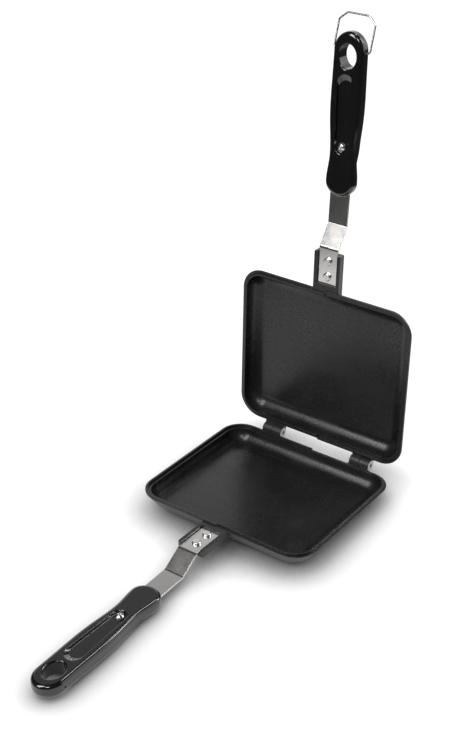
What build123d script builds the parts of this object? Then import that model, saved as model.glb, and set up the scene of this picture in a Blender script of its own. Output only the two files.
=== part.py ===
from build123d import *
import os
from math import atan, degrees, radians, tan

# A hinged two-pan pie iron. Both halves are the same casting, one turned over on the other.
# Each half is drawn closed: z = 0 is the plane where the rims meet, x = 0 the middle,
# y = 0 the middle of the pan, +y towards the hinge, and the half lies below z = 0.

# Pan casting
pan_width = 150.0
pan_length = 130.0
pan_height = 14.0
pan_corner = 18.0
base_corner = 13.0
rim_band = 1.0
rim_width = 4.2
wall_slope = 35.0
base_round = 9.0
floor_thickness = 2.6
cavity_slope = 12.0
cavity_floor_corner = 12.5
cavity_round = 11.0
lip_height = 1.6
rim_edge_round = 0.3
closing_gap = 0.3
cut_through = 1.0

# Hinge cast into the rear wall
hinge_offset = 6.15
hinge_spread = 41.0
knuckle_radius = 4.2
knuckle_width = 8.5
knuckle_gap = 0.3
hinge_arm_top = 0.6
hinge_root = 4.0
stop_corner_round = 0.5
stop_gap = 0.3
open_angle = 90.5
pin_radius = 1.5
pin_recess = 0.6
pin_fit = 0.05
pin_grip = 0.01
pin_chamfer = 0.3

# Lug that carries the strap
lug_length = 30.0
lug_wall = 2.7
lug_top = 0.4
lug_floor = 2.4
lug_root = 6.0
lug_end_gap = 4.5
lug_edge_round = 0.6

# Steel strap
strap_width = 16.0
strap_thickness = 1.6
strap_play = 0.5
strap_end_gap = 0.4
strap_flat = 28.6
joggle_run = 15.9
joggle_drop = 10.4
bend_radius = 3.0
tang_exposed = 22.1
tang_depth = 48.0
tang_fit = 0.15

# Rivets
rivet_first = 10.6
rivet_pitch = 12.3
rivet_radius = 2.0
rivet_head_radius = 3.3
rivet_head_height = 1.8
rivet_head_round = 1.1
rivet_tail_radius = 3.2
rivet_tail_height = 1.3
rivet_fit = 0.05
rivet_head_clear = 0.25

# Handle, measured along the tang from its own start
handle_length = 120.0
handle_tilt = 1.7
neck_thickness = 9.9
neck_round = 4.0
grip_from = 34.0
grip_ramp = 20.0
grip_thickness = 14.4
end_thickness = 11.0
handle_cover = 3.2
shoulder_half = 11.8
shoulder_at = 10.5
waist_half = 10.2
waist_at = 27.0
swell_half = 11.5
swell_from_end = 68.0
end_half = 12.1
end_round = 13.5
face_round = 2.8
back_round = 5.0
hole_from_end = 17.3
hole_half_width = 6.9
hole_half_length = 8.9
hole_round = 1.0
recess_before_screw = 5.2
recess_from_end = 29.6
recess_narrow_half = 5.6
recess_wide_half = 6.9
recess_depth = 1.9
recess_wall_run = 1.0
recess_scoop_run = 4.6
recess_round = 0.7
recess_edge_round = 0.5

# Handle screw and its spring washer
screw_from_tang_end = 10.6
screw_radius = 2.0
screw_head_radius = 3.4
screw_head_height = 2.2
screw_slot_width = 0.8
screw_slot_length = 3.4
screw_slot_depth = 1.1
screw_tip = 2.4
screw_clearance = 0.2
screw_tap = 0.02
washer_radius = 3.2
washer_thickness = 0.7
washer_split = 0.7

# Wire bail
bail_from_end = 14.0
bail_depth = 5.5
bail_wire = 1.4
bail_half_width = 14.6
bail_leg = 20.0
bail_reach = 25.2
bail_bar_half = 8.8
bail_bend = 2.2
bail_grip = 3.2
bail_fit = 0.08
bail_end_gap = 0.4
bail_lean = 14.0

# Worked out from the sizes above
half_gap = closing_gap / 2
lip_top = lip_height / 2 - half_gap
ledge_top = -lip_height / 2 - half_gap
lip_split = rim_width / 2
slope_run = (pan_height - rim_band) * tan(radians(wall_slope))
cavity_floor = -(pan_height - floor_thickness)
cavity_run = -cavity_floor * tan(radians(cavity_slope))
rear = pan_length / 2
front = -rear
hinge_y = rear + hinge_offset
lug_half = strap_width / 2 + strap_play + lug_wall
channel_half = strap_width / 2 + strap_play
strap_top = -(rivet_head_height + rivet_head_clear)
channel_floor = strap_top - strap_thickness
lug_bottom = channel_floor - lug_floor
rivet_rows = (front - rivet_first, front - rivet_first - rivet_pitch)
strap_start = front - lug_end_gap - strap_end_gap
bend_one = strap_start - strap_flat
bend_two = bend_one - joggle_run
tang_top = strap_top - joggle_drop
tang_frame = Pos(0, bend_two, tang_top) * Rot(handle_tilt, 0, 0)
end_at = handle_length - end_round
hole_at = handle_length - hole_from_end
bail_at = handle_length - bail_from_end
screw_at = tang_depth - screw_from_tang_end
recess_from = screw_at - recess_before_screw
recess_to = handle_length - recess_from_end
swell_at = handle_length - swell_from_end
recess_floor = handle_cover - recess_depth
bail_height = handle_cover - bail_depth


def rounded_plate(inset, z, corner):
    """A rounded rectangle, inset evenly from the pan's outline."""
    shape = RectangleRounded(pan_width - 2 * inset, pan_length - 2 * inset, corner)
    return Pos(0, 0, z) * shape


def slab(x0, x1, y0, y1, z0, z1):
    """A box between two corners."""
    middle = Pos((x0 + x1) / 2, (y0 + y1) / 2, (z0 + z1) / 2)
    return middle * Box(x1 - x0, y1 - y0, z1 - z0)


def lowest_edges(part):
    return part.edges().group_by(Axis.Z)[0]


def pan_shell():
    """The dished pan: upright rim band, sloping walls and a flat base, hollowed out."""
    band = extrude(rounded_plate(0, -rim_band, pan_corner), rim_band + lip_top)
    walls = loft(
        [
            rounded_plate(slope_run, -pan_height, base_corner),
            rounded_plate(0, -rim_band, pan_corner),
        ],
        ruled=True,
    )
    walls = fillet(lowest_edges(walls), base_round)
    return band + walls


def pan_cavity():
    """The hollow that holds the bread, with a large round between wall and floor."""
    mouth_corner = pan_corner - rim_width
    hollow = loft(
        [
            rounded_plate(rim_width + cavity_run, cavity_floor, cavity_floor_corner),
            rounded_plate(rim_width, 0, mouth_corner),
        ],
        ruled=True,
    )
    hollow = fillet(lowest_edges(hollow), cavity_round)
    return hollow + extrude(rounded_plate(rim_width, 0, mouth_corner), lip_height)


def lip_cuts():
    """Ledges beside the lips: inside on the left half, outside on the right half."""
    reach = lip_height + cut_through
    outer_edge = lip_split - half_gap
    inner_edge = lip_split + half_gap
    inside = extrude(rounded_plate(outer_edge, ledge_top, pan_corner - outer_edge), reach)
    inside &= slab(-pan_width, half_gap, -pan_length, pan_length, -reach, reach)
    inner = extrude(rounded_plate(inner_edge, ledge_top, pan_corner - inner_edge), reach)
    around = slab(-half_gap, pan_width, -pan_length, pan_length, ledge_top, reach)
    return inside + (around - inner)


def knuckle(x0, bore_radius):
    """One hinge knuckle on its arm, with the square corner that stops the opening."""
    x1 = x0 + knuckle_width
    middle = (x0 + x1) / 2
    barrel = Pos(middle, hinge_y, 0) * Rot(0, 90, 0) * Cylinder(knuckle_radius, knuckle_width)
    corner = slab(x0, x1, hinge_y, hinge_y + knuckle_radius, 0, knuckle_radius)
    outer_edge = corner.edges().filter_by(Axis.X).group_by(Axis.Z)[-1].sort_by(Axis.Y)[-1]
    corner = fillet(outer_edge, stop_corner_round)
    arm = slab(x0, x1, rear - hinge_root, hinge_y, -knuckle_radius, -hinge_arm_top)
    bore = Pos(middle, hinge_y, 0) * Rot(0, 90, 0) * Cylinder(bore_radius, 2 * knuckle_width)
    return barrel + corner + arm - bore


def stop_block(x0):
    """The cast block that the other half's square corner meets when the iron stands open."""
    face = hinge_y - knuckle_radius - stop_gap
    return slab(x0, x0 + knuckle_width, rear - hinge_root, face, -knuckle_radius, -hinge_arm_top)


def hinge_features(bore_radius):
    """Knuckles to the right of each hinge's middle, stop blocks to the left."""
    features = Part()
    for middle in (-hinge_spread, hinge_spread):
        features += knuckle(middle + knuckle_gap / 2, bore_radius)
        features += stop_block(middle - knuckle_gap / 2 - knuckle_width)
    return features


def lug():
    """The channel that stands out of the front wall and takes the strap."""
    block = slab(-lug_half, lug_half, front - lug_length, front + lug_root, lug_bottom, -lug_top)
    outer_edges = block.edges().filter_by(Axis.Z).sort_by(Axis.Y)[:2]
    block = fillet(outer_edges, lug_edge_round)
    channel = slab(
        -channel_half, channel_half, front - 2 * lug_length, front - lug_end_gap,
        channel_floor, lug_bottom + pan_height,
    )
    return block - channel


def rivet_holes(z0, z1):
    holes = Part()
    for y in rivet_rows:
        holes += Pos(0, y, (z0 + z1) / 2) * Cylinder(rivet_radius + rivet_fit, z1 - z0)
    return holes


def pan(bore_radius):
    """The whole casting of one half."""
    body = pan_shell() + lug() + hinge_features(bore_radius)
    body -= pan_cavity()
    body -= lip_cuts() & slab(-pan_width, pan_width, front, rear, -pan_height, pan_height)
    body -= rivet_holes(lug_bottom - cut_through, channel_floor + cut_through)
    lip_edges = body.edges().filter_by_position(Axis.Z, lip_top - 0.01, lip_top + 0.01)
    return fillet(lip_edges, rim_edge_round)


def along(distance):
    """Place on the tang, in the tang's frame, a distance beyond the handle's start."""
    return -(tang_exposed + distance)


def strap():
    """A flat steel strap, joggled away from the rim plane, with its tang in the handle."""
    half = strap_thickness / 2
    tang_end = (tang_frame * Pos(0, along(tang_depth), -half)).position
    middle_turn = (tang_frame * Pos(0, 0, -half)).position
    route = FilletPolyline(
        (0, strap_start, strap_top - half),
        (0, bend_one, strap_top - half),
        tuple(middle_turn),
        tuple(tang_end),
        radius=bend_radius,
    )
    section = Plane(origin=(0, strap_start, strap_top - half), x_dir=(1, 0, 0), z_dir=(0, -1, 0))
    blank = sweep(section * Rectangle(strap_width, strap_thickness), path=route)
    blank -= rivet_holes(channel_floor - cut_through, strap_top + cut_through)
    tapped = Pos(0, along(screw_at), -half) * Cylinder(screw_radius + screw_tap, 3 * strap_thickness)
    return blank - tang_frame * tapped


def rivet(y):
    """A flat-topped round rivet through strap and lug, clenched under the lug."""
    bottom = lug_bottom - rivet_tail_height / 2
    head_top = strap_top + rivet_head_height
    shank = slab_cylinder(rivet_radius, bottom, strap_top + rivet_head_height / 2)
    head = slab_cylinder(rivet_head_radius, strap_top, head_top)
    head = fillet(head.edges().sort_by(Axis.Z)[-1], rivet_head_round)
    tail = Pos(0, 0, lug_bottom) * Rot(180, 0, 0) * dome(rivet_tail_radius, rivet_tail_height)
    return Pos(0, y, 0) * (shank + head + tail)


def slab_cylinder(radius, z0, z1):
    """An upright cylinder between two heights."""
    return Pos(0, 0, (z0 + z1) / 2) * Cylinder(radius, z1 - z0)


def dome(radius, height):
    """A spherical cap standing on z = 0."""
    ball = (radius**2 + height**2) / (2 * height)
    cap = Pos(0, 0, height - ball) * Sphere(ball)
    return cap & slab_cylinder(2 * radius, 0, 2 * height)


def handle_outline():
    """Plan of the handle: rounded start, waist under the screw, wider end with the hole."""
    start = EllipticalCenterArc((0, along(shoulder_at)), shoulder_half, shoulder_at, 0, arc_size=180)
    far_end = EllipticalCenterArc((0, along(end_at)), end_half, handle_length - end_at, 180, arc_size=180)
    edges = [start, far_end]
    for side in (-1, 1):
        stations = [
            (side * shoulder_half, along(shoulder_at)),
            (side * waist_half, along(waist_at)),
            (side * swell_half, along(swell_at)),
            (side * end_half, along(end_at)),
        ]
        edges.append(Spline(stations, tangents=[(0, -1), (0, -1)]))
    return make_face(edges)


def tapered_blank(first_thickness, last_thickness, edge_round):
    """The handle's outline with a flat back that slopes from one end to the other."""
    start = handle_cover - first_thickness
    body = extrude(Pos(0, 0, start) * handle_outline(), first_thickness)
    slope = degrees(atan((last_thickness - first_thickness) / handle_length))
    below = slab(-pan_width, pan_width, -2 * handle_length, handle_length, -handle_length, 0)
    body -= Pos(0, along(0), start) * Rot(slope, 0, 0) * below
    return fillet(body.faces().sort_by(Axis.Z)[0].edges(), edge_round)


def handle_blank():
    """The handle without its openings: a thin neck, then a thicker grip behind a ramp."""
    neck = tapered_blank(neck_thickness, neck_thickness, neck_round)
    grip = tapered_blank(grip_thickness, end_thickness, back_round)
    foot = Pos(0, along(grip_from), handle_cover - neck_thickness)
    before = slab(-pan_width, pan_width, -handle_length, handle_length, -handle_length, 0)
    body = neck + (grip - foot * Rot(grip_ramp, 0, 0) * before)
    return fillet(body.faces().sort_by(Axis.Z)[-1].edges(), face_round)


def recess():
    """The long shallow recess in the face, with a gentle scoop at its wide end."""
    top = recess_outline(0, 0)
    floor = recess_outline(recess_wall_run, recess_scoop_run)
    cutter = loft([Pos(0, 0, recess_floor) * floor, Pos(0, 0, handle_cover) * top], ruled=True)
    cutter = fillet(lowest_edges(cutter), recess_round)
    return cutter + extrude(Pos(0, 0, handle_cover) * top, recess_depth)


def recess_outline(inset, scoop):
    """Two circles, narrow and wide, joined by straight sides."""
    narrow = recess_narrow_half - inset
    wide = recess_wide_half - inset
    first = Pos(0, along(recess_from + recess_narrow_half)) * Circle(narrow)
    last = Pos(0, along(recess_to - recess_wide_half - scoop + inset)) * Circle(wide)
    return make_hull(first.edges() + last.edges())


def recess_edges(body):
    """The edges where the recess meets the handle's face."""
    on_face = body.edges().filter_by_position(Axis.Z, handle_cover - 0.01, handle_cover + 0.01)
    on_face = on_face.filter_by_position(Axis.X, -recess_wide_half, recess_wide_half)
    return on_face.filter_by_position(Axis.Y, along(recess_to), along(recess_from))


def handle():
    """The moulded handle: hang hole, recess, tang slot, screw hole and bail holes."""
    hole = Pos(0, along(hole_at)) * Ellipse(hole_half_width, hole_half_length)
    body = handle_blank() - extrude(hole, handle_length, both=True)
    for z in (handle_cover, handle_cover - end_thickness):
        mouth = body.edges().sort_by_distance((0, along(hole_at), z))[0]
        body = fillet(mouth, hole_round)
    body -= recess()
    body = fillet(recess_edges(body), recess_edge_round)
    slot_half = strap_width / 2 + tang_fit
    body -= slab(
        -slot_half, slot_half, along(tang_depth + tang_fit), along(-shoulder_at),
        -strap_thickness - tang_fit, tang_fit,
    )
    shank = Pos(0, along(screw_at), 0)
    body -= shank * slab_cylinder(screw_radius + screw_clearance, 0, handle_cover)
    body -= shank * slab_cylinder(
        screw_radius + screw_clearance, -strap_thickness - screw_tip - screw_clearance, 0
    )
    bail_end = end_half - bail_grip - bail_end_gap
    for side in (-1, 1):
        mouth = Pos(side * (bail_end + end_half), along(bail_at), bail_height)
        body -= mouth * Rot(0, 90, 0) * Cylinder(bail_wire / 2 + bail_fit, 2 * end_half)
    return tang_frame * body


def screw():
    """A cross-slot screw with a domed head, its thread shown as a plain shank."""
    seat = recess_floor + washer_thickness
    head = dome(screw_head_radius, screw_head_height)
    slot = slab(
        -screw_slot_length / 2, screw_slot_length / 2, -screw_slot_width / 2, screw_slot_width / 2,
        screw_head_height - screw_slot_depth, 2 * screw_head_height,
    )
    head -= slot + Rot(0, 0, 90) * slot
    shank = slab_cylinder(screw_radius, -strap_thickness - screw_tip, seat)
    return tang_frame * Pos(0, along(screw_at), 0) * (Pos(0, 0, seat) * head + shank)


def spring_washer():
    """A split ring under the screw head."""
    ring = slab_cylinder(washer_radius, recess_floor, recess_floor + washer_thickness)
    ring -= slab_cylinder(screw_radius + screw_clearance, 0, 2 * handle_cover)
    ring -= slab(0, 2 * washer_radius, -washer_split / 2, washer_split / 2, 0, 2 * handle_cover)
    return tang_frame * Pos(0, along(screw_at), 0) * ring


def bail():
    """The bent wire loop whose ends turn in the holes at the handle's sides."""
    inner_end = end_half - bail_grip
    route = FilletPolyline(
        (inner_end, 0, 0),
        (bail_half_width, 0, 0),
        (bail_half_width, -bail_leg, 0),
        (bail_bar_half, -bail_reach, 0),
        (-bail_bar_half, -bail_reach, 0),
        (-bail_half_width, -bail_leg, 0),
        (-bail_half_width, 0, 0),
        (-inner_end, 0, 0),
        radius=bail_bend,
    )
    section = Plane(origin=(inner_end, 0, 0), z_dir=(1, 0, 0)) * Circle(bail_wire / 2)
    wire = sweep(section, path=route)
    return tang_frame * Pos(0, along(bail_at), bail_height) * Rot(bail_lean, 0, 0) * wire


def hinge_pin(middle):
    """A plain pin through one pair of knuckles, a little short at both ends."""
    length = 2 * knuckle_width + knuckle_gap - 2 * pin_recess
    pin = Cylinder(pin_radius, length)
    pin = chamfer(pin.edges().filter_by(GeomType.CIRCLE), pin_chamfer)
    return Pos(middle, hinge_y, 0) * Rot(0, 90, 0) * pin


def half_pieces(bore_radius):
    """Every piece that both halves have, in the closed half's own frame."""
    return {
        "pan": pan(bore_radius),
        "strap": strap(),
        "front_rivet": rivet(rivet_rows[1]),
        "rear_rivet": rivet(rivet_rows[0]),
        "handle": handle(),
        "handle_screw": screw(),
        "spring_washer": spring_washer(),
    }


def opened():
    """Turns a half over about y, then opens it about the hinge."""
    axis = Pos(0, hinge_y, 0)
    return axis * Rot(-open_angle, 0, 0) * axis.inverse() * Rot(0, 180, 0)


def assembly():
    """All the pieces in place: the lower half on its base, the upper half standing open."""
    lift = Pos(0, 0, pan_height)
    upper = lift * opened()
    pieces = {}
    for name, piece in half_pieces(pin_radius + pin_grip).items():
        pieces["lower_" + name] = lift * piece
    for name, piece in half_pieces(pin_radius + pin_fit).items():
        pieces["upper_" + name] = upper * piece
    pieces["left_hinge_pin"] = lift * hinge_pin(-hinge_spread)
    pieces["right_hinge_pin"] = lift * hinge_pin(hinge_spread)
    pieces["hanging_bail"] = upper * bail()
    return pieces


if __name__ == "__main__":
    os.makedirs("parts", exist_ok=True)
    for name, piece in assembly().items():
        export_step(piece, f"parts/{name}.step")
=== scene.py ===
import math

import bmesh
import bpy
from mathutils import Matrix, Vector

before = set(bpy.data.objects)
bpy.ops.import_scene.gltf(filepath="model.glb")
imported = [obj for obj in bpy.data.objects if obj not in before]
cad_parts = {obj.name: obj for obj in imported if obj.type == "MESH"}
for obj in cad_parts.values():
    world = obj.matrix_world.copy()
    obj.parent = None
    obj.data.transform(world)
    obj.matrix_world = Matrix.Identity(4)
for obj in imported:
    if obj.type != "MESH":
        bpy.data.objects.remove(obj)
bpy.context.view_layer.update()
print("frame loaded:", len(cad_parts), "pieces")


# Shader helpers: a Wire is one output socket, and sums on wires add Math nodes


class Wire:
    def __init__(self, finish, socket):
        self.finish = finish
        self.socket = socket

    def maths(self, operation, first, second=0.0):
        return self.finish.node("Math", {"operation": operation}, {0: first, 1: second})

    def __add__(self, other):
        return self.maths("ADD", self, other)

    def __radd__(self, other):
        return self.maths("ADD", other, self)

    def __sub__(self, other):
        return self.maths("SUBTRACT", self, other)

    def __rsub__(self, other):
        return self.maths("SUBTRACT", other, self)

    def __mul__(self, other):
        return self.maths("MULTIPLY", self, other)

    def __rmul__(self, other):
        return self.maths("MULTIPLY", other, self)

    def __abs__(self):
        return self.maths("ABSOLUTE", self)


class Finish:
    # one material's nodes; node() takes a node's type, its settings, then its sockets' values or wires
    def __init__(self, name):
        self.material = bpy.data.materials.new(name)
        self.material.use_nodes = True
        self.tree = self.material.node_tree
        self.tree.nodes.clear()

    def node(self, kind, settings=None, sockets=None, output=0):
        made = self.tree.nodes.new("ShaderNode" + kind)
        for key, value in (settings or {}).items():
            setattr(made, key, value)
        for key, value in (sockets or {}).items():
            if isinstance(value, Wire):
                self.tree.links.new(value.socket, made.inputs[key])
            else:
                made.inputs[key].default_value = value
        return Wire(self, made.outputs[output]) if made.outputs else made

    def place(self, half=None):
        # a point on its own half, in metres: x across, y towards the hinge, z up from the rim plane
        point = self.node("TexCoord", output="Object")
        turn, shift = halfPlaces[half]
        sockets = {"Vector": point, "Rotation": turn, "Location": shift}
        return self.node("Mapping", {"vector_type": "POINT"}, sockets)

    def stretch(self, point, scale):
        return self.node("VectorMath", {"operation": "MULTIPLY"}, {0: point, 1: scale})

    def parts(self, point):
        split = self.node("SeparateXYZ", sockets={"Vector": point})
        return [Wire(self, output) for output in split.socket.node.outputs]

    def noise(self, point, scale, detail=2.0, rough=0.5, twist=0.0):
        return self.node("TexNoise", {}, {
            "Vector": point, "Scale": scale, "Detail": detail, "Roughness": rough, "Distortion": twist})

    def between(self, value, low, high, start=0.0, end=1.0):
        # a smooth step from start to end while value goes from low to high
        sockets = {"Value": value, "From Min": low, "From Max": high, "To Min": start, "To Max": end}
        return self.node("MapRange", {"interpolation_type": "SMOOTHSTEP"}, sockets)

    def blend(self, factor, first, second):
        # sockets 6 and 7 are a Mix node's two colours, and output 2 its colour
        sockets = {"Factor": factor, 6: first, 7: second}
        return self.node("Mix", {"data_type": "RGBA"}, sockets, output=2)

    def bump(self, height, distance, strength=1.0, normal=None):
        sockets = {"Height": height, "Distance": distance, "Strength": strength}
        if normal is not None:
            sockets["Normal"] = normal
        return self.node("Bump", {}, sockets)

    def softEdges(self, radius):
        return self.node("Bevel", {"samples": 6}, {"Radius": radius})

    def surface(self, **sockets):
        names = {key.replace("_", " "): value for key, value in sockets.items()}
        shader = self.node("BsdfPrincipled", {}, names)
        return self.close(shader)

    def close(self, shader):
        self.node("OutputMaterial", {}, {"Surface": shader})
        return self.material


# The hinge axis in the row frame, in metres, and how far the iron stands open, in degrees

hinge = {"back": 0.07115, "up": 0.014, "open": 90.5}


def halfTurns():
    # how a point in the row frame is turned and moved onto the closed half that it belongs to
    turn = Matrix.Rotation(math.pi, 3, "Y") @ Matrix.Rotation(math.radians(hinge["open"]), 3, "X")
    axis = Vector((0, hinge["back"], hinge["up"]))
    home = Matrix.Rotation(math.pi, 3, "Y") @ Vector((0, hinge["back"], 0))
    upperShift = home - turn @ axis
    lowerShift = Vector((0, 0, -hinge["up"]))
    return {
        "lower": ((0.0, 0.0, 0.0), tuple(lowerShift)),
        "upper": ((math.radians(hinge["open"]), math.pi, 0.0), tuple(upperShift)),
        None: ((0.0, 0.0, 0.0), (0.0, 0.0, 0.0)),
    }


halfPlaces = halfTurns()


def dress(node, material):
    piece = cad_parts[node]
    piece.data.materials.clear()
    piece.data.materials.append(material)


# Pans: cast aluminium under a satin black non-stick coat, bare where the knuckles are faced off

pan = {
    "coat": (0.0075, 0.0075, 0.0078, 1),
    "coatWorn": (0.0115, 0.0115, 0.012, 1),
    "coatSpeck": (0.05, 0.05, 0.052, 1),
    # the hinge block's grey is rough as-cast coat, partly painted light on the knuckle fronts
    "cast": (0.028, 0.028, 0.0285, 1),
    # the outer greys are painted lighter than the coat: a painted reflection of the pale floor
    "outside": (0.034, 0.034, 0.0345, 1),
    "outsideRubbed": (0.062, 0.062, 0.0625, 1),
    "bare": (0.5, 0.49, 0.47, 1),
    "roughness": 0.3,
    "cloudScale": 32.0,
    "patchScale": 9.0,
    "streakScale": 70.0,
    "orangePeelScale": 900.0,
    "speckScale": 2600.0,
    "grainSize": 0.0009,
    "grainDepth": 0.00006,
    "edgeRound": 0.0004,
    # where the coat changes, on a half's own axes
    "hingeFrom": (0.0655, 0.0675),
    "corner": 0.018,
    "cornerAt": (0.057, 0.047),
    "centreLean": 0.315,
    "radiusLean": 0.385,
    "wallEdge": (-0.001, -0.0006),
    "wallFrom": (-0.0008, -0.0013),
    "baseFrom": (-0.0116, -0.0119),
    "knuckleRadius": 0.0043,
    "knuckleBlur": 0.0003,
    "knuckleEnds": (-0.03235, 0.04965),
    "endBlur": (0.00005, 0.0001),
}


def outerWall(f, x, y, z):
    # 1 on the outer walls and base, 0 on the dish and the rim
    sides = [abs(along) - z * pan["centreLean"] - at for along, at in zip((x, y), pan["cornerAt"])]
    sides = [side.maths("MAXIMUM", side, 0.0) for side in sides]
    spread = x.maths("SQRT", sides[0] * sides[0] + sides[1] * sides[1])
    reach = spread - z * pan["radiusLean"] - pan["corner"]
    walls = f.between(reach, *pan["wallEdge"]) * f.between(z, *pan["wallFrom"])
    return walls.maths("MAXIMUM", walls, f.between(z, *pan["baseFrom"]))


def facedEnds(f, point, x):
    # 1 on the machined ends of the fixed knuckles
    fromAxis = f.node("VectorMath", {"operation": "DISTANCE"}, {
        0: f.stretch(point, (0, 1, 1)), 1: (0, hinge["back"], 0)}, output="Value")
    ends = [1 - f.between(abs(x - at), *pan["endBlur"]) for at in pan["knuckleEnds"]]
    radius = pan["knuckleRadius"]
    return (ends[0] + ends[1]) * (1 - f.between(fromAxis, radius - pan["knuckleBlur"], radius))


def panCoat(half):
    f = Finish(half + "PanCoat")
    point = f.place(half)
    x, y, z = f.parts(point)
    cloud = f.noise(point, pan["cloudScale"], 3.0, 0.6)
    patch = f.noise(point, pan["patchScale"], 2.0, 0.5, 0.4)
    grain = f.noise(point, 1 / pan["grainSize"], 2.0, 0.55)
    speck = f.between(f.noise(point, pan["speckScale"], 1.0), 0.62, 0.75)
    orangePeel = f.noise(point, pan["orangePeelScale"], 2.0, 0.5)
    worn = f.between(cloud * 0.6 + patch * 0.4, 0.4, 0.62)
    coat = f.blend(worn, pan["coat"], pan["coatWorn"])
    coat = f.blend(speck * 0.25, coat, pan["coatSpeck"])
    # the hinge block is rougher as-cast coat, painted lighter grey to stand in for the light falling on
    # the knuckle fronts
    atHinge = f.between(y, *pan["hingeFrom"])
    coat = f.blend(atHinge, coat, pan["cast"])

    # the outer walls and base are painted a lighter grey than the dish and the rim, a painted
    # reflection of the pale floor, with rubbed patches of random tone
    outside = outerWall(f, x, y, z)
    streaks = f.noise(f.stretch(point, (1.0, 1.0, 0.35)), pan["streakScale"], 4.0, 0.62, 0.5)
    rubbed = f.between(patch * 0.4 + streaks * 0.6, 0.36, 0.64)
    coat = f.blend(outside, coat, f.blend(rubbed, pan["outside"], pan["outsideRubbed"]))

    bare = facedEnds(f, point, x)
    colour = f.blend(bare, coat, pan["bare"])
    rough = f.between(cloud, 0.3, 0.7, pan["roughness"] - 0.04, pan["roughness"] + 0.05)
    rough = rough + (grain - 0.5) * 0.42 + atHinge * 0.16 + outside * (0.02 + rubbed * 0.08)
    edges = f.softEdges(pan["edgeRound"])
    skin = f.bump(orangePeel * 0.5 + grain * 0.5, pan["grainDepth"], 1.0, edges)
    return f.surface(Base_Color=colour, Metallic=bare, Roughness=rough, IOR=1.5, Normal=skin)


for half in ("lower", "upper"):
    dress(half + "_pan", panCoat(half))
print("pans coated")


# Straps: stainless strip, rolled lengthways

strap = {
    "steel": (0.74, 0.725, 0.705, 1),
    "steelDull": (0.6, 0.585, 0.568, 1),
    "roughness": 0.18,
    "lines": (4200.0, 60.0, 160.0),
    "longLines": (900.0, 9.0, 30.0),
    "smudgeScale": 95.0,
    "lineDepth": 0.000008,
    "edgeRound": 0.0002,
}


def strapSteel(half):
    f = Finish(half + "StrapSteel")
    point = f.place(half)
    lines = f.noise(f.stretch(point, strap["lines"]), 1.0, 3.0, 0.6)
    longLines = f.noise(f.stretch(point, strap["longLines"]), 1.0, 2.0, 0.5)
    smudge = f.noise(point, strap["smudgeScale"], 4.0, 0.65, 0.3)
    bright = f.between(lines * 0.7 + longLines * 0.3, 0.3, 0.7) * 0.35 + 0.65
    colour = f.blend(bright, strap["steelDull"], strap["steel"])
    colour = f.blend(f.between(smudge, 0.45, 0.75) * 0.3, colour, strap["steelDull"])
    rough = strap["roughness"] + (smudge - 0.5) * 0.12 + (lines - 0.5) * 0.06
    skin = f.bump(lines, strap["lineDepth"], 0.5, f.softEdges(strap["edgeRound"]))
    return f.surface(Base_Color=colour, Metallic=1.0, Roughness=rough, Normal=skin)


for half in ("lower", "upper"):
    dress(half + "_strap", strapSteel(half))
print("straps brushed")


# Rivets: soft aluminium, hammered over

rivet = {
    "metal": (0.86, 0.86, 0.85, 1),
    "dull": (0.68, 0.68, 0.67, 1),
    "roughness": 0.24,
    "dentScale": 700.0,
    "dentDepth": 0.00012,
    "markScale": 2400.0,
    "markDepth": 0.00001,
}


def rivetMetal():
    f = Finish("rivetMetal")
    point = f.place()
    dents = f.noise(point, rivet["dentScale"], 1.0)
    marks = f.noise(point, rivet["markScale"], 3.0, 0.6)
    colour = f.blend(f.between(marks, 0.4, 0.7), rivet["metal"], rivet["dull"])
    rough = rivet["roughness"] + marks * 0.12
    skin = f.bump(dents, rivet["dentDepth"], 0.5)
    skin = f.bump(marks, rivet["markDepth"], 0.6, skin)
    return f.surface(Base_Color=colour, Metallic=1.0, Roughness=rough, Normal=skin)


rivetFinish = rivetMetal()
for half in ("lower", "upper"):
    for end in ("front", "rear"):
        dress(f"{half}_{end}_rivet", rivetFinish)
print("rivets done")


# Handles: black phenolic, glossy from the mould, with a trace of flow and handling

handle = {
    "black": (0.003, 0.003, 0.0032, 1),
    "bloom": (0.006, 0.006, 0.0063, 1),
    "roughness": 0.1,
    "refraction": 1.6,
    "gloss": 0.5,
    "glossRoughness": 0.05,
    "flow": (60.0, 18.0, 60.0),
    "scratches": (2600.0, 140.0, 2600.0),
    "scratchDepth": 0.000004,
    "smearScale": 140.0,
    "waveScale": 45.0,
    "waveDepth": 0.00009,
}


def handlePlastic(half):
    f = Finish(half + "HandlePlastic")
    point = f.place(half)
    flow = f.noise(f.stretch(point, handle["flow"]), 1.0, 3.0, 0.55, 0.6)
    smear = f.noise(point, handle["smearScale"], 4.0, 0.6, 0.5)
    scratch = f.noise(f.stretch(point, handle["scratches"]), 1.0, 2.0, 0.5)
    wave = f.noise(point, handle["waveScale"], 1.0)
    colour = f.blend(f.between(flow, 0.4, 0.7) * 0.6, handle["black"], handle["bloom"])
    rough = handle["roughness"] + f.between(smear, 0.45, 0.75) * 0.1
    rough = rough + f.between(scratch, 0.62, 0.8) * 0.12
    skin = f.bump(wave, handle["waveDepth"], 0.3)
    skin = f.bump(scratch, handle["scratchDepth"], 0.5, skin)
    return f.surface(
        Base_Color=colour,
        Roughness=rough,
        IOR=handle["refraction"],
        Coat_Weight=handle["gloss"],
        Coat_Roughness=handle["glossRoughness"],
        Normal=skin,
    )


for half in ("lower", "upper"):
    dress(half + "_handle", handlePlastic(half))
print("handles moulded")


# Small steel: handle screws, split washers, hinge pins and the wire bail

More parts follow.
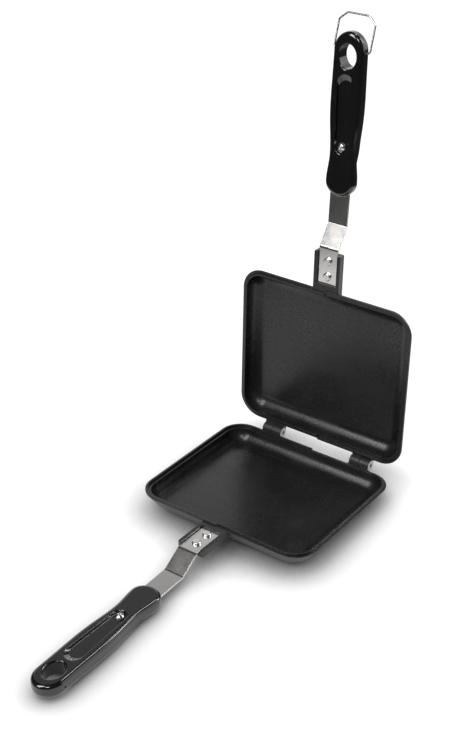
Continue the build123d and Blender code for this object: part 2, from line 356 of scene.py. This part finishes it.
smallSteel = {
    "screw": {
        "metal": (0.66, 0.66, 0.66, 1), "dull": (0.44, 0.44, 0.44, 1),
        "roughness": 0.22, "scale": 1500.0,
    },
    "washer": {
        "metal": (0.55, 0.55, 0.55, 1), "dull": (0.36, 0.36, 0.36, 1),
        "roughness": 0.32, "scale": 1800.0,
    },
    "pin": {
        "metal": (0.58, 0.57, 0.55, 1), "dull": (0.34, 0.33, 0.32, 1),
        "roughness": 0.34, "scale": 1600.0,
    },
    "wire": {
        "metal": (0.5, 0.5, 0.49, 1), "dull": (0.3, 0.3, 0.29, 1),
        "roughness": 0.2, "scale": 1100.0,
    },
}
steelMarks = {"depth": 0.000012, "edgeRound": 0.00012, "hazeCoarser": 7}


def steel(kind):
    settings = smallSteel[kind]
    f = Finish(kind + "Steel")
    point = f.place()
    marks = f.noise(point, settings["scale"], 3.0, 0.6)
    haze = f.noise(point, settings["scale"] / steelMarks["hazeCoarser"], 3.0, 0.6)
    dulled = f.between(marks * 0.4 + haze * 0.6, 0.42, 0.68)
    colour = f.blend(dulled, settings["metal"], settings["dull"])
    rough = settings["roughness"] + (haze - 0.4) * 0.2
    skin = f.bump(marks, steelMarks["depth"], 0.6, f.softEdges(steelMarks["edgeRound"]))
    return f.surface(Base_Color=colour, Metallic=1.0, Roughness=rough, Normal=skin)


finishes = {kind: steel(kind) for kind in smallSteel}
for half in ("lower", "upper"):
    dress(half + "_handle_screw", finishes["screw"])
    dress(half + "_spring_washer", finishes["washer"])
for side in ("left", "right"):
    dress(side + "_hinge_pin", finishes["pin"])
dress("hanging_bail", finishes["wire"])
print("small steel done")


# Studio: a pale floor that sweeps up into a backdrop, tilted to carry the lower half as it rests

studio = {
    "floorRadius": 2.3,
    "sweepRadius": 0.5,
    "sweepSteps": 12,
    "roundSteps": 96,
    "wallTop": 2.3,
    "restSlack": 0.00005,
    "paper": (0.8, 0.8, 0.8, 1),
    "paperPale": (0.816, 0.816, 0.816, 1),
    "shadowReach": 0.034,
    "glow": 0.85,
    "white": 1.22,
    "sheet": (0.4, 0.54),
    "sheetAt": (0.03, 0.03),
    "sheetGlow": 0.9,
    "wallFrom": (0.5, 0.8),
    "wallFoot": (0.03, 0.1),
    "wallFade": (1.1, 1.8, 1.0, 0.3),
    "wallGlow": 1.1,
    "dim": 0.06,
    "room": (0.06, 0.06, 0.06, 1),
}


def restingLine():
    # the line that the iron stands on: the rear of the base and the lower handle's end
    corners = [v.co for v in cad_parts["lower_pan"].data.vertices]
    base = [co for co in corners if co.z < studio["restSlack"]]
    rear = max(base, key=lambda co: co.y)
    grip = [v.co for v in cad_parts["lower_handle"].data.vertices]
    slope = max((rear.z - co.z) / (rear.y - co.y) for co in grip)
    return rear, math.atan(slope)


def sweepFinish():
    f = Finish("studioWhite")
    where = f.node("TexCoord", output="Object")
    grain = f.noise(where, 3.0, 2.0)
    shade = f.blend(grain, studio["paper"], studio["paperPale"])
    paper = f.node("BsdfDiffuse", {}, {"Color": shade})
    # what the gloss mirrors is glow painted on the floor for glossy rays only: a white sheet round the
    # object, a dim room, a pale wall behind
    x, y, z = f.parts(where)
    across, along = x - studio["sheetAt"][0], y - studio["sheetAt"][1]
    reach = x.maths("SQRT", across * across + along * along)
    sheet = 1 - f.between(reach, *studio["sheet"])
    wall = f.between(y, *studio["wallFrom"]) * f.between(z, *studio["wallFoot"])
    wall = wall * f.between(z, *studio["wallFade"])
    mirrored = sheet * studio["sheetGlow"] + wall * studio["wallGlow"] + studio["dim"]
    # ambient occlusion darkens the floor's glow near the object: a painted contact shadow, added to the
    # real shadow on the paper
    around = {"Distance": studio["shadowReach"]}
    paintedContactShadow = f.node("AmbientOcclusion", {"samples": 8}, around, output="AO")
    path = f.node("LightPath").socket.node.outputs
    glossy = Wire(f, path["Is Glossy Ray"])
    seen, seenThrough = Wire(f, path["Is Camera Ray"]), Wire(f, path["Is Transmission Ray"])
    direct = seen.maths("MAXIMUM", seen, seenThrough)
    strength = direct * studio["white"] * paintedContactShadow * paintedContactShadow + glossy * mirrored * paintedContactShadow
    light = f.node("VectorMath", {"operation": "SCALE"}, {0: (1, 1, 1), "Scale": strength})
    glow = f.node("Emission", {}, {"Color": light, "Strength": 1.0})
    lit = f.node("MixShader", {}, {0: direct * studio["glow"] + glossy, 1: paper, 2: glow})
    # seen from below the floor is clear
    below = f.node("NewGeometry", output="Backfacing")
    clear = f.node("BsdfTransparent", {}, {})
    return f.close(f.node("MixShader", {}, {0: below, 1: lit, 2: clear}))


def makeSweep():
    rear, tilt = restingLine()
    outer, bend, steps = (studio[key] for key in ("floorRadius", "sweepRadius", "sweepSteps"))
    profile = [(0.0, 0.0), (outer - bend, 0.0)]
    for step in range(1, steps + 1):
        angle = math.pi / 2 * step / steps
        profile.append((outer - bend * (1 - math.sin(angle)), bend * (1 - math.cos(angle))))
    profile.append((outer, studio["wallTop"]))
    shape = bmesh.new()
    points = [shape.verts.new((radius, 0, height)) for radius, height in profile]
    edges = [shape.edges.new(pair) for pair in zip(points, points[1:])]
    swept = {"geom": points + edges, "angle": math.tau, "steps": studio["roundSteps"]}
    bmesh.ops.spin(shape, cent=(0, 0, 0), axis=(0, 0, 1), **swept)
    bmesh.ops.remove_doubles(shape, verts=shape.verts, dist=0.0001)
    bmesh.ops.recalc_face_normals(shape, faces=shape.faces)
    middle = min(shape.faces, key=lambda face: face.calc_center_median().length)
    if middle.normal.z < 0:
        bmesh.ops.reverse_faces(shape, faces=shape.faces)
    for face in shape.faces:
        face.smooth = True
    mesh = bpy.data.meshes.new("studioSweep")
    shape.to_mesh(mesh)
    shape.free()
    sweep = bpy.data.objects.new("studioSweep", mesh)
    mesh.materials.append(sweepFinish())
    bpy.context.scene.collection.objects.link(sweep)
    tip = Matrix.Rotation(tilt, 4, "X")
    sweep.matrix_world = Matrix.Translation(rear) @ tip @ Matrix.Translation((0, -rear.y, 0))
    print("sweep tilted", round(math.degrees(tilt), 2), "degrees")


makeSweep()

lamps = {
    "key": {"at": (-0.36, -0.97, 1.08), "aim": (0, 0, 0.1), "size": (0.45, 1.15), "watts": 14.5},
    "front": {"at": (0.42, -0.91, 1.11), "aim": (0, 0, 0.15), "size": (0.35, 0.35), "watts": 4},
    "back": {"at": (0.68, 0.97, 0.95), "aim": (0, 0, 0.1), "size": (0.3, 0.7), "watts": 7},
    "top": {"at": (0.05, 0.7, 1.5), "aim": (0, 0, 0.05), "size": (0.3, 0.3), "watts": 2.5},
}


def makeLamps():
    for name, lamp in lamps.items():
        data = bpy.data.lights.new(name + "Lamp", "AREA")
        data.shape = "RECTANGLE"
        data.size, data.size_y = lamp["size"]
        data.energy = lamp["watts"]
        box = bpy.data.objects.new(name + "Lamp", data)
        bpy.context.scene.collection.objects.link(box)
        facing = (Vector(lamp["aim"]) - Vector(lamp["at"])).to_track_quat("-Z", "Y")
        box.matrix_world = Matrix.Translation(lamp["at"]) @ facing.to_matrix().to_4x4()
        box.visible_camera = False


makeLamps()


def makeRoom():
    world = bpy.data.worlds.new("room")
    bpy.context.scene.world = world
    world.use_nodes = True
    sockets = world.node_tree.nodes["Background"].inputs
    sockets["Color"].default_value = studio["room"]
    sockets["Strength"].default_value = 1.0


makeRoom()
print("studio lit")


# Camera: stands to the right of the lower handle, looking down

camera = {
    "at": (0.47866, -0.71996, 0.59308),
    "azimuth": 35.507,
    "elevation": 29.195,
    "roll": 0.644,
    "lens": 65.575,
    "clip": (0.01, 50),
}


def makeCamera():
    azimuth, elevation, roll = (math.radians(camera[key]) for key in ("azimuth", "elevation", "roll"))
    back = Vector((
        math.sin(azimuth) * math.cos(elevation),
        -math.cos(azimuth) * math.cos(elevation),
        math.sin(elevation),
    ))
    right = Vector((math.cos(azimuth), math.sin(azimuth), 0))
    up = back.cross(right)
    turned = math.cos(roll) * right + math.sin(roll) * up
    risen = math.cos(roll) * up - math.sin(roll) * right
    data = bpy.data.cameras.new("viewCamera")
    data.lens = camera["lens"]
    data.clip_start, data.clip_end = camera["clip"]
    view = bpy.data.objects.new("viewCamera", data)
    bpy.context.scene.collection.objects.link(view)
    turn = Matrix((turned, risen, back)).transposed().to_4x4()
    view.matrix_world = Matrix.Translation(camera["at"]) @ turn
    bpy.context.scene.camera = view


makeCamera()
bpy.context.scene.view_settings.view_transform = "Standard"
print("camera set")
